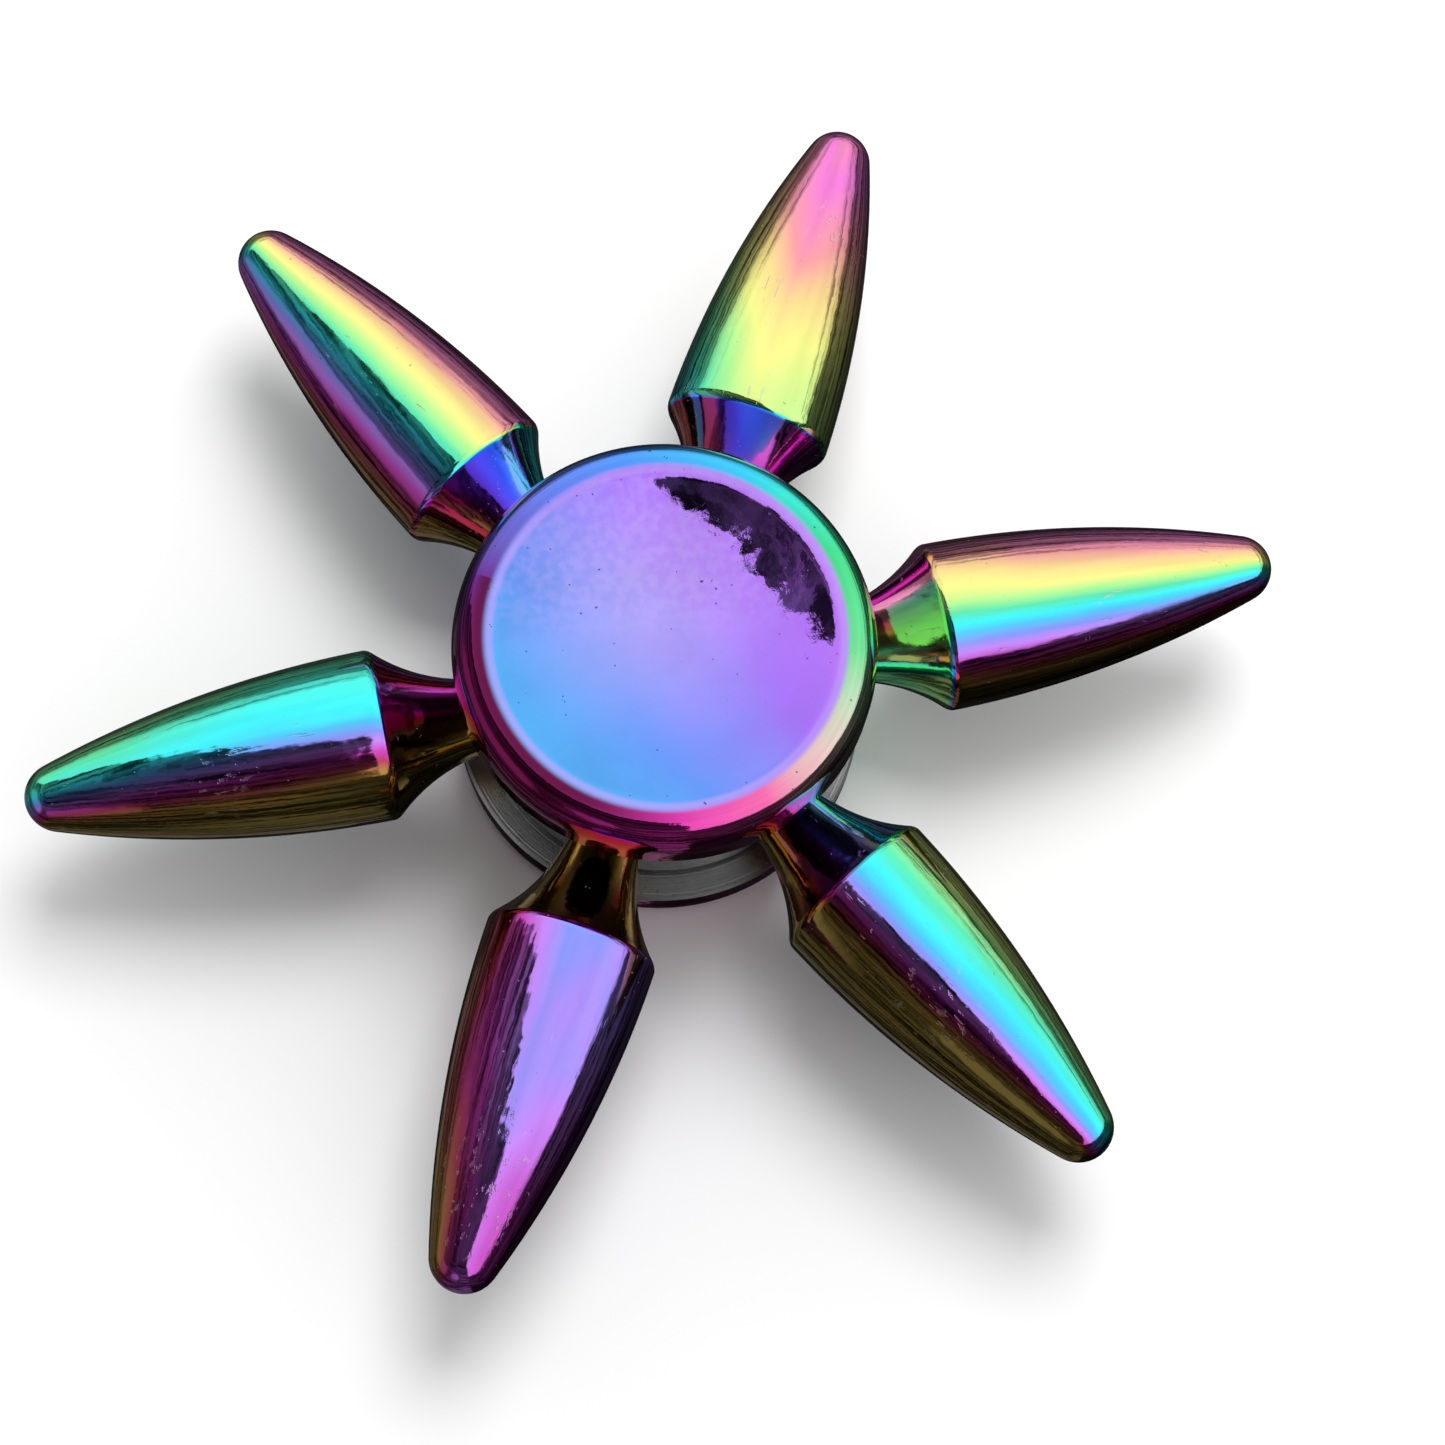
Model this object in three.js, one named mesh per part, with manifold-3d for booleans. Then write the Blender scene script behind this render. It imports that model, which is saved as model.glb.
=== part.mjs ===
// Six-armed metal fidget spinner: a hub ring with six screwed-in bullet arms turns on a 1/4 inch
// ball bearing, between two finger caps that screw together through the bearing's bore.
// Millimetres. Z is the spin axis, z = 0 is the plane of the arms, and arm 1 lies along +X.

import * as THREE from 'three';
import { mergeVertices } from 'three/addons/utils/BufferGeometryUtils.js';
import Module from 'manifold-3d';

const wasm = await Module();
wasm.setup();

// ---- Driving dimensions ----

// Bullet arms. A reach is a distance from the spin axis.
const ARM_COUNT = 6;
const TIP_REACH = 35;
const TIP_RADIUS = 1.9;
const SHOULDER_REACH = 15.5;
const SHOULDER_RADIUS = 4.7;
const NECK_RADIUS = 2;
const NECK_WAIST_REACH = 9;
const STUD_RADIUS = 1.5;
const STUD_LENGTH = 2.2;

// Finger caps.
const CAP_RADIUS = 11.35;
const CAP_FACE_Z = 4.4;
const CAP_WALL_TOP_Z = 5.9;
const CAP_TOP_Z = 8.2;
const RIM_OUTER_RADIUS = 10.2;
const RIM_INNER_RADIUS = 9.85;
const DISH_RADIUS = 8.8;
const DISH_EDGE_Z = 8;
const DISH_CENTRE_Z = 6.4;
const EDGE_CHAMFER = 0.15;

// The caps' bosses, sleeves and joining screw.
const BOSS_RADIUS = 3.9;
const SLEEVE_RADIUS = 3.12;
const SLEEVE_SPLIT_Z = 0.1;
const SPLIT_GAP = 0.2;
const SCREW_RADIUS = 1.9;
const SCREW_HOLE_RADIUS = 2.05;
const SCREW_END_Z = -2.2;
const SCREW_HOLE_END_Z = -2.6;

// Hub ring.
const SPIN_GAP = 0.3;
const HUB_RADIUS = 9.8;
const HUB_HALF_HEIGHT = CAP_FACE_Z - SPIN_GAP;
const HUB_CHAMFER = 0.3;
const BEARING_SEAT_CLEARANCE = 0.05;
const HUB_LIP_RADIUS = 5.6;
const SOCKET_RADIUS = 1.65;
const SOCKET_END_REACH = 7.2;
const SPOT_FACE_RADIUS = 2.3;
const SPOT_FACE_REACH = 9.5;
const SEAT_GAP = 0.1;

// R188 ball bearing, 1/4 x 1/2 x 3/16 inch.
const BEARING_BORE_RADIUS = 3.175;
const BEARING_OUTER_RADIUS = 6.35;
const BEARING_HALF_WIDTH = 2.381;
const BALL_COUNT = 10;
const BALL_RADIUS = 0.794;
const PITCH_RADIUS = 4.7625;
const BALL_CLEARANCE = 0.03;
const INNER_LAND_RADIUS = 4.2;
const OUTER_LAND_RADIUS = 5.35;
const SHIELD_STEP_RADIUS = 5.95;
const SHIELD_STEP_DEPTH = 0.5;
const SHIELD_THICKNESS = 0.15;
const SHIELD_BORE_RADIUS = 4.32;
const RACE_GAP = 0.04;
const SNAP_RING_THICKNESS = 0.15;
const SNAP_RING_WIDTH = 0.4;
const SNAP_RING_OPENING = 0.35;
const CAGE_INNER_RADIUS = 4.4;
const CAGE_OUTER_RADIUS = 5.12;
const CAGE_BACK_Z = -1.2;
const CAGE_FINGER_Z = 0.45;
const CAGE_POCKET_CLEARANCE = 0.08;

// Facets: segments about an axis, and steps along each arc of a profile.
const ROUND_SEGMENTS = 40;
const ARM_SEGMENTS = 24;
const HOLE_SEGMENTS = 16;
const CAGE_SEGMENTS = BALL_COUNT * 4;
const BALL_DETAIL = 1;
const FLARE_STEPS = 4;
const OGIVE_STEPS = 6;
const TIP_STEPS = 3;
const ROUNDING_STEPS = 4;
const DISH_STEPS = 4;
const GROOVE_STEPS = 4;

// How far a cutter runs on past the surface it cuts.
const CUTTER_OVERRUN = 1;

// ---- Materials ----

function metal(colour, roughness) {
  return new THREE.MeshStandardMaterial({ color: colour, roughness, metalness: 1 });
}

const ARM_COLOURS = [0xe6c070, 0xd77fd0, 0xc9d860, 0x46c8c8, 0xa864d8, 0x58c0d0];
const capCoating = metal(0x8a78f0, 0.12);
const satinSteel = metal(0x8c8c8e, 0.4);
const bearingSteel = metal(0xb9bbbe, 0.22);
const shieldSteel = metal(0xa6a8ab, 0.3);
const cageSteel = metal(0xb08a4a, 0.35);

// ---- Geometry helpers ----

// Points [distance, radius] of an arc about (centreX, centreY), from one angle to another, ends included.
function arc(centreX, centreY, radiusX, radiusY, fromDegrees, toDegrees, steps) {
  const points = [];
  for (let i = 0; i <= steps; i += 1) {
    const angle = THREE.MathUtils.degToRad(fromDegrees + ((toDegrees - fromDegrees) * i) / steps);
    points.push([centreX + radiusX * Math.cos(angle), centreY + radiusY * Math.sin(angle)]);
  }
  return points;
}

// Turn an outline of [radius, z] points about the Z axis. The solid lies to the outline's left.
function turned(outline, segments = ROUND_SEGMENTS) {
  const points = outline.map(([radius, z]) => new THREE.Vector2(radius, z));
  const geometry = new THREE.LatheGeometry(points, segments);
  geometry.rotateX(Math.PI / 2);
  return geometry;
}

// The same, for an outline that doesn't touch the axis and closes on itself.
function turnedRing(outline, segments = ROUND_SEGMENTS) {
  return turned([...outline, outline[0]], segments);
}

function toSolid(geometry) {
  const bare = geometry.clone();
  bare.deleteAttribute('normal');
  bare.deleteAttribute('uv');
  const merged = mergeVertices(bare);
  return new wasm.Manifold(new wasm.Mesh({
    numProp: 3,
    vertProperties: new Float32Array(merged.attributes.position.array),
    triVerts: new Uint32Array(merged.index.array),
  }));
}

function toGeometry(solid) {
  const mesh = solid.getMesh();
  const geometry = new THREE.BufferGeometry();
  geometry.setAttribute('position', new THREE.BufferAttribute(mesh.vertProperties, mesh.numProp));
  geometry.setIndex(new THREE.BufferAttribute(mesh.triVerts, 1));
  geometry.computeVertexNormals();
  return geometry;
}

// A round cutter that runs outward along +X.
function radialCutter(radius, fromReach, toReach) {
  const geometry = new THREE.CylinderGeometry(radius, radius, toReach - fromReach, HOLE_SEGMENTS);
  geometry.rotateZ(-Math.PI / 2);
  geometry.translate((fromReach + toReach) / 2, 0, 0);
  return geometry;
}

function addMesh(parent, name, geometry, material) {
  const mesh = new THREE.Mesh(geometry, material);
  mesh.name = name;
  parent.add(mesh);
  return mesh;
}

// ---- Bullet arms ----

// Threaded stud, flared neck, sharp shoulder, tangent ogive and round tip, in one turned piece.
function armGeometry() {
  const seatReach = SPOT_FACE_REACH + SEAT_GAP;

  // The neck's flare is an arc that is level at the waist and ends on the shoulder.
  const flareLength = SHOULDER_REACH - NECK_WAIST_REACH;
  const flareRise = SHOULDER_RADIUS - NECK_RADIUS;
  const flareArcRadius = (flareLength ** 2 + flareRise ** 2) / (2 * flareRise);
  const flareAngle = (reach) => -90 + THREE.MathUtils.radToDeg(
    Math.asin((reach - NECK_WAIST_REACH) / flareArcRadius),
  );
  const flare = arc(
    NECK_WAIST_REACH,
    NECK_RADIUS + flareArcRadius,
    flareArcRadius,
    flareArcRadius,
    flareAngle(seatReach),
    flareAngle(SHOULDER_REACH),
    FLARE_STEPS,
  );

  // The ogive is level at the shoulder and tangent to the tip's sphere.
  const tipCentre = TIP_REACH - TIP_RADIUS;
  const bulletLength = tipCentre - SHOULDER_REACH;
  const ogiveRadius = (bulletLength ** 2 + SHOULDER_RADIUS ** 2 - TIP_RADIUS ** 2)
    / (2 * (SHOULDER_RADIUS - TIP_RADIUS));
  const tangentAngle = THREE.MathUtils.radToDeg(
    Math.atan2(ogiveRadius - SHOULDER_RADIUS, bulletLength),
  );
  const ogive = arc(
    SHOULDER_REACH,
    SHOULDER_RADIUS - ogiveRadius,
    ogiveRadius,
    ogiveRadius,
    90,
    tangentAngle,
    OGIVE_STEPS,
  );
  const tip = arc(tipCentre, 0, TIP_RADIUS, TIP_RADIUS, tangentAngle, 0, TIP_STEPS);

  const studEnd = seatReach - STUD_LENGTH;
  const profile = [
    [studEnd, 0],
    [studEnd, STUD_RADIUS - EDGE_CHAMFER],
    [studEnd + EDGE_CHAMFER, STUD_RADIUS],
    [seatReach, STUD_RADIUS],
    ...flare,
    ...ogive.slice(1),
    ...tip.slice(1, -1),
    [TIP_REACH, 0],
  ];
  const points = profile.map(([reach, radius]) => new THREE.Vector2(radius, reach));
  const geometry = new THREE.LatheGeometry(points, ARM_SEGMENTS);
  geometry.rotateZ(-Math.PI / 2);
  return geometry;
}

// ---- Hub ring ----

// Bearing housing with a lip under the bearing and six spot-faced radial sockets.
function hubGeometry() {
  const seatRadius = BEARING_OUTER_RADIUS + BEARING_SEAT_CLEARANCE;
  const lipZ = -(BEARING_HALF_WIDTH + SEAT_GAP);
  const ring = turnedRing([
    [HUB_LIP_RADIUS, -HUB_HALF_HEIGHT],
    [HUB_RADIUS - HUB_CHAMFER, -HUB_HALF_HEIGHT],
    [HUB_RADIUS, -HUB_HALF_HEIGHT + HUB_CHAMFER],
    [HUB_RADIUS, HUB_HALF_HEIGHT - HUB_CHAMFER],
    [HUB_RADIUS - HUB_CHAMFER, HUB_HALF_HEIGHT],
    [seatRadius + HUB_CHAMFER, HUB_HALF_HEIGHT],
    [seatRadius, HUB_HALF_HEIGHT - HUB_CHAMFER],
    [seatRadius, lipZ],
    [HUB_LIP_RADIUS, lipZ],
  ]);
  const cutterEnd = HUB_RADIUS + CUTTER_OVERRUN;
  let solid = toSolid(ring);
  for (let i = 0; i < ARM_COUNT; i += 1) {
    const angle = (i * 2 * Math.PI) / ARM_COUNT;
    const socket = radialCutter(SOCKET_RADIUS, SOCKET_END_REACH, cutterEnd).rotateZ(angle);
    const spotFace = radialCutter(SPOT_FACE_RADIUS, SPOT_FACE_REACH, cutterEnd).rotateZ(angle);
    solid = solid.subtract(toSolid(socket)).subtract(toSolid(spotFace));
  }
  return toGeometry(solid);
}

// ---- Finger caps ----

// Outer shape shared by both caps, from the edge of the inner face, over the rim, to the dish's centre.
function capShell() {
  const rounding = arc(
    RIM_OUTER_RADIUS,
    CAP_WALL_TOP_Z,
    CAP_RADIUS - RIM_OUTER_RADIUS,
    CAP_TOP_Z - CAP_WALL_TOP_Z,
    0,
    90,
    ROUNDING_STEPS,
  );
  const dishRise = DISH_EDGE_Z - DISH_CENTRE_Z;
  const dishArcRadius = (DISH_RADIUS ** 2 + dishRise ** 2) / (2 * dishRise);
  const dishHalfAngle = THREE.MathUtils.radToDeg(Math.asin(DISH_RADIUS / dishArcRadius));
  const dish = arc(
    0,
    DISH_CENTRE_Z + dishArcRadius,
    dishArcRadius,
    dishArcRadius,
    -90 + dishHalfAngle,
    -90,
    DISH_STEPS,
  );
  return [
    [CAP_RADIUS - EDGE_CHAMFER, CAP_FACE_Z],
    [CAP_RADIUS, CAP_FACE_Z + EDGE_CHAMFER],
    ...rounding,
    [RIM_INNER_RADIUS, CAP_TOP_Z],
    ...dish.slice(0, -1),
    [0, DISH_CENTRE_Z],
  ];
}

// The top cap's boss rests on the inner race, its sleeve fills the bore and its screw runs on below.
function topCapGeometry() {
  const sleeveEnd = SLEEVE_SPLIT_Z + SPLIT_GAP;
  const bossEnd = BEARING_HALF_WIDTH + SEAT_GAP;
  return turned([
    [0, SCREW_END_Z],
    [SCREW_RADIUS - EDGE_CHAMFER, SCREW_END_Z],
    [SCREW_RADIUS, SCREW_END_Z + EDGE_CHAMFER],
    [SCREW_RADIUS, sleeveEnd],
    [SLEEVE_RADIUS, sleeveEnd],
    [SLEEVE_RADIUS, bossEnd],
    [BOSS_RADIUS, bossEnd],
    [BOSS_RADIUS, CAP_FACE_Z],
    ...capShell(),
  ]);
}

// The bottom cap's sleeve is threaded for the screw. It is drawn face up and then turned over.
function bottomCapGeometry() {
  const sleeveEnd = -SLEEVE_SPLIT_Z;
  const bossEnd = BEARING_HALF_WIDTH + SEAT_GAP;
  const geometry = turned([
    [0, -SCREW_HOLE_END_Z],
    [SCREW_HOLE_RADIUS, -SCREW_HOLE_END_Z],
    [SCREW_HOLE_RADIUS, sleeveEnd],
    [SLEEVE_RADIUS, sleeveEnd],
    [SLEEVE_RADIUS, bossEnd],
    [BOSS_RADIUS, bossEnd],
    [BOSS_RADIUS, CAP_FACE_Z],
    ...capShell(),
  ]);
  geometry.rotateX(Math.PI);
  return geometry;
}

// ---- Bearing ----

// The grooves are arcs about the ball's centre, a little larger than the ball.
const GROOVE_RADIUS = BALL_RADIUS + BALL_CLEARANCE;

function innerRaceGeometry() {
  const landAngle = THREE.MathUtils.radToDeg(
    Math.acos((PITCH_RADIUS - INNER_LAND_RADIUS) / GROOVE_RADIUS),
  );
  const groove = arc(
    PITCH_RADIUS,
    0,
    GROOVE_RADIUS,
    GROOVE_RADIUS,
    180 + landAngle,
    180 - landAngle,
    GROOVE_STEPS,
  );
  return turnedRing([
    [BEARING_BORE_RADIUS, -BEARING_HALF_WIDTH],
    [INNER_LAND_RADIUS, -BEARING_HALF_WIDTH],
    ...groove,
    [INNER_LAND_RADIUS, BEARING_HALF_WIDTH],
    [BEARING_BORE_RADIUS, BEARING_HALF_WIDTH],
  ]);
}

function outerRaceGeometry() {
  const stepZ = BEARING_HALF_WIDTH - SHIELD_STEP_DEPTH;
  const landAngle = THREE.MathUtils.radToDeg(
    Math.acos((OUTER_LAND_RADIUS - PITCH_RADIUS) / GROOVE_RADIUS),
  );
  const groove = arc(
    PITCH_RADIUS,
    0,
    GROOVE_RADIUS,
    GROOVE_RADIUS,
    landAngle,
    -landAngle,
    GROOVE_STEPS,
  );
  return turnedRing([
    [SHIELD_STEP_RADIUS, -BEARING_HALF_WIDTH],
    [BEARING_OUTER_RADIUS, -BEARING_HALF_WIDTH],
    [BEARING_OUTER_RADIUS, BEARING_HALF_WIDTH],
    [SHIELD_STEP_RADIUS, BEARING_HALF_WIDTH],
    [SHIELD_STEP_RADIUS, stepZ],
    [OUTER_LAND_RADIUS, stepZ],
    ...groove,
    [OUTER_LAND_RADIUS, -stepZ],
    [SHIELD_STEP_RADIUS, -stepZ],
  ]);
}

// Crown cage: a ring with ten snap pockets open at the top.
function cageGeometry() {
  const ring = turnedRing([
    [CAGE_INNER_RADIUS, CAGE_BACK_Z],
    [CAGE_OUTER_RADIUS, CAGE_BACK_Z],
    [CAGE_OUTER_RADIUS, CAGE_FINGER_Z],
    [CAGE_INNER_RADIUS, CAGE_FINGER_Z],
  ], CAGE_SEGMENTS);
  let solid = toSolid(ring);
  for (let i = 0; i < BALL_COUNT; i += 1) {
    const pocket = radialCutter(
      BALL_RADIUS + CAGE_POCKET_CLEARANCE,
      CAGE_INNER_RADIUS - CUTTER_OVERRUN,
      CAGE_OUTER_RADIUS + CUTTER_OVERRUN,
    );
    solid = solid.subtract(toSolid(pocket.rotateZ((i * 2 * Math.PI) / BALL_COUNT)));
  }
  return toGeometry(solid);
}

// Flat annular shield, in the outer race's step.
function shieldGeometry(side) {
  const innerZ = BEARING_HALF_WIDTH - SHIELD_STEP_DEPTH + RACE_GAP;
  const geometry = turnedRing([
    [SHIELD_BORE_RADIUS, innerZ],
    [SHIELD_STEP_RADIUS - RACE_GAP, innerZ],
    [SHIELD_STEP_RADIUS - RACE_GAP, innerZ + SHIELD_THICKNESS],
    [SHIELD_BORE_RADIUS, innerZ + SHIELD_THICKNESS],
  ]);
  return side > 0 ? geometry : geometry.rotateX(Math.PI);
}

// Open spring ring that holds a shield in its step.
function snapRingGeometry(side) {
  const outer = SHIELD_STEP_RADIUS - RACE_GAP;
  const inner = outer - SNAP_RING_WIDTH;
  const outline = new THREE.Shape();
  outline.absarc(0, 0, outer, SNAP_RING_OPENING, 2 * Math.PI - SNAP_RING_OPENING, false);
  outline.absarc(0, 0, inner, 2 * Math.PI - SNAP_RING_OPENING, SNAP_RING_OPENING, true);
  outline.closePath();
  const geometry = new THREE.ExtrudeGeometry(outline, {
    depth: SNAP_RING_THICKNESS,
    bevelEnabled: false,
    curveSegments: ROUND_SEGMENTS / 2,
  });
  const innerZ = BEARING_HALF_WIDTH - SHIELD_STEP_DEPTH + 2 * RACE_GAP + SHIELD_THICKNESS;
  geometry.translate(0, 0, innerZ);
  return side > 0 ? geometry : geometry.rotateX(Math.PI);
}

// ---- Assembly ----

const group = new THREE.Group();
const rotor = new THREE.Group();
const bearing = new THREE.Group();
group.add(rotor, bearing);

addMesh(group, 'top_cap', topCapGeometry(), capCoating);
addMesh(group, 'bottom_cap', bottomCapGeometry(), capCoating);
addMesh(rotor, 'hub_ring', hubGeometry(), satinSteel);

for (let i = 0; i < ARM_COUNT; i += 1) {
  const arm = addMesh(rotor, `bullet_arm_${i + 1}`, armGeometry(), metal(ARM_COLOURS[i], 0.12));
  arm.rotation.z = (i * 2 * Math.PI) / ARM_COUNT;
}

addMesh(bearing, 'bearing_inner_race', innerRaceGeometry(), bearingSteel);
addMesh(bearing, 'bearing_outer_race', outerRaceGeometry(), bearingSteel);
addMesh(bearing, 'bearing_cage', cageGeometry(), cageSteel);

for (let i = 0; i < BALL_COUNT; i += 1) {
  const angle = (i * 2 * Math.PI) / BALL_COUNT;
  const ball = addMesh(
    bearing,
    `bearing_ball_${i + 1}`,
    new THREE.IcosahedronGeometry(BALL_RADIUS, BALL_DETAIL),
    bearingSteel,
  );
  ball.position.set(PITCH_RADIUS * Math.cos(angle), PITCH_RADIUS * Math.sin(angle), 0);
}

for (const [label, side] of [['top', 1], ['bottom', -1]]) {
  addMesh(bearing, `bearing_shield_${label}`, shieldGeometry(side), shieldSteel);
  addMesh(bearing, `shield_snap_ring_${label}`, snapRingGeometry(side), shieldSteel);
}

export default group;
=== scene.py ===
"""Looks for the six-armed metal fidget spinner: fine surfaces, film colours, light and camera.

Metres, in the same frame as the CAD: Z is the spin axis and bullet arm 1 lies along +X.
"""
import math

import bmesh
import bpy
from mathutils import Matrix, Quaternion, Vector


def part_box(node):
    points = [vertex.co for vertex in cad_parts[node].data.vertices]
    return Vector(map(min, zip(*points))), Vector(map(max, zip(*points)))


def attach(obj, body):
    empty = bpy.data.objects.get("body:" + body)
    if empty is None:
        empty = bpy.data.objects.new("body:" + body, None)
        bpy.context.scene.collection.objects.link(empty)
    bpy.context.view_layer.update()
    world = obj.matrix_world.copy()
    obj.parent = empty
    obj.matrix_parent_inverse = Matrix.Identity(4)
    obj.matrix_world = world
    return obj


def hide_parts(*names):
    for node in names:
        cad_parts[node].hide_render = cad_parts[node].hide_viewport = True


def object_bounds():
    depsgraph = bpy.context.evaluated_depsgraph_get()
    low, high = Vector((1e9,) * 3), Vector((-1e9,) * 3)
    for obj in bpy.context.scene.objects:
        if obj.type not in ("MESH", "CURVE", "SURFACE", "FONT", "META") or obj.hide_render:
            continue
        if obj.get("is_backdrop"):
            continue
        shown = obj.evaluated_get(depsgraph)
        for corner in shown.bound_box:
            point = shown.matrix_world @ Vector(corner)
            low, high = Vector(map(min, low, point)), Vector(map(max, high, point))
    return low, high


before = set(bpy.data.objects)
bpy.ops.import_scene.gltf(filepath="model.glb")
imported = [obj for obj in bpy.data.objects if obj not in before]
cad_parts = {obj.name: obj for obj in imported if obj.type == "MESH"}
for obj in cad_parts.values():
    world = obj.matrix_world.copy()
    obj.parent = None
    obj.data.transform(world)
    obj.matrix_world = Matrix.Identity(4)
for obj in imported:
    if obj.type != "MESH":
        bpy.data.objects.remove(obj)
cad_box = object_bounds()

MM = 0.001

# ---- Sizes, in millimetres: the CAD's, but for the crest of the cap rims (RIM_OUTER_RADIUS) ----

ARM_COUNT = 6
TIP_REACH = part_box("bullet_arm_1")[1][0] / MM
TIP_RADIUS = 1.9
SHOULDER_REACH = 15.5
SHOULDER_RADIUS = 4.7
SHOULDER_SOFTNESS = 0.28
NECK_RADIUS = 2.0
NECK_WAIST_REACH = 9.0
SEAT_REACH = 9.6
STUD_RADIUS = 1.5
STUD_LENGTH = 2.2

CAP_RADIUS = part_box("top_cap")[1][0] / MM
CAP_TOP_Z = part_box("top_cap")[1][2] / MM
CAP_FACE_Z = 4.4
CAP_WALL_TOP_Z = 5.9
RIM_OUTER_RADIUS = 10.0
DISH_RADIUS = 8.8
DISH_EDGE_Z = 8.0
DISH_CENTRE_Z = 6.4
EDGE_CHAMFER = 0.15

BOSS_RADIUS = 3.9
BOSS_END_Z = 2.481
SLEEVE_RADIUS = 3.12
SCREW_RADIUS = 1.9
SCREW_HOLE_RADIUS = 2.05
SCREW_END_Z = -2.2
SCREW_HOLE_END_Z = 2.6
TOP_SLEEVE_END_Z = 0.3
BOTTOM_SLEEVE_END_Z = -0.1

HUB_RADIUS = 9.8
HUB_HALF_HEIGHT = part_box("hub_ring")[1][2] / MM
HUB_CHAMFER = 0.3
HUB_LIP_RADIUS = 5.6
HUB_LIP_Z = -2.481
BEARING_SEAT_RADIUS = 6.4
SOCKET_RADIUS = 1.65
SOCKET_END_REACH = 7.2
SPOT_FACE_RADIUS = 2.3
SPOT_FACE_REACH = 9.5

BEARING_BORE_RADIUS = 3.175
BEARING_OUTER_RADIUS = 6.35
BEARING_HALF_WIDTH = 2.381
BALL_COUNT = 10
BALL_RADIUS = 0.794
PITCH_RADIUS = 4.7625
GROOVE_RADIUS = 0.824
INNER_LAND_RADIUS = 4.2
OUTER_LAND_RADIUS = 5.35
SHIELD_STEP_RADIUS = 5.95
SHIELD_STEP_Z = 1.881
SHIELD_BORE_RADIUS = 4.32
SHIELD_OUTER_RADIUS = 5.91
SHIELD_INNER_Z = 1.921
SHIELD_THICKNESS = 0.15
SNAP_RING_WIDTH = 0.4
SNAP_RING_INNER_Z = 2.111
SNAP_RING_OPENING = 0.35
CAGE_INNER_RADIUS = 4.4
CAGE_OUTER_RADIUS = 5.12
CAGE_BACK_Z = -1.2
CAGE_FINGER_Z = 0.45
CAGE_POCKET_RADIUS = 0.874

ROUND_SEGMENTS = 192
ARM_SEGMENTS = 128
SMALL_SEGMENTS = 48
SHARP_ANGLE = math.radians(32)


# ---- Profiles ----

def arc(centre, radii, start, end, steps):
    """Points of an elliptical arc, ends included. Angles are in degrees."""
    points = []
    for i in range(steps + 1):
        angle = math.radians(start + (end - start) * i / steps)
        points.append((centre[0] + radii[0] * math.cos(angle), centre[1] + radii[1] * math.sin(angle)))
    return points


def soft_corner(before, corner, after, steps=6):
    """Points that round a corner off, between the two ends, which are left out."""
    points = []
    for i in range(1, steps):
        t = i / steps
        points.append(tuple(
            (1 - t) ** 2 * before[k] + 2 * t * (1 - t) * corner[k] + t * t * after[k] for k in (0, 1)
        ))
    return points


def arm_profile():
    """(radius, reach) of stud, flared neck, shoulder, ogive and tip."""
    flare_length = SHOULDER_REACH - NECK_WAIST_REACH
    flare_rise = SHOULDER_RADIUS - NECK_RADIUS
    flare_radius = (flare_length ** 2 + flare_rise ** 2) / (2 * flare_rise)

    def flare_point(reach):
        along = reach - NECK_WAIST_REACH
        return NECK_RADIUS + flare_radius - math.sqrt(flare_radius ** 2 - along ** 2), reach

    flare_end = SHOULDER_REACH - SHOULDER_SOFTNESS
    steps = 28
    flare = [flare_point(SEAT_REACH + (flare_end - SEAT_REACH) * i / steps) for i in range(steps + 1)]

    tip_centre = TIP_REACH - TIP_RADIUS
    length = tip_centre - SHOULDER_REACH
    ogive_radius = (length ** 2 + SHOULDER_RADIUS ** 2 - TIP_RADIUS ** 2) / (
        2 * (SHOULDER_RADIUS - TIP_RADIUS))

    def ogive_point(reach):
        along = reach - SHOULDER_REACH
        return SHOULDER_RADIUS - ogive_radius + math.sqrt(ogive_radius ** 2 - along ** 2), reach

    tangent = math.atan2(ogive_radius - SHOULDER_RADIUS, length)
    ogive_start = SHOULDER_REACH + SHOULDER_SOFTNESS
    ogive_end = tip_centre + TIP_RADIUS * math.cos(tangent)
    steps = 40
    ogive = [ogive_point(ogive_start + (ogive_end - ogive_start) * i / steps) for i in range(steps + 1)]
    tip = [
        (radius, reach)
        for reach, radius in arc((tip_centre, 0), (TIP_RADIUS, TIP_RADIUS), math.degrees(tangent), 0, 14)
    ]
    stud_end = SEAT_REACH - STUD_LENGTH
    return [
        (0, stud_end),
        (STUD_RADIUS - EDGE_CHAMFER, stud_end),
        (STUD_RADIUS, stud_end + EDGE_CHAMFER),
        (STUD_RADIUS, SEAT_REACH),
        *flare,
        *soft_corner(flare[-1], (SHOULDER_RADIUS, SHOULDER_REACH), ogive[0]),
        *ogive,
        *tip[1:-1],
        (0, TIP_REACH),
    ]


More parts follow.
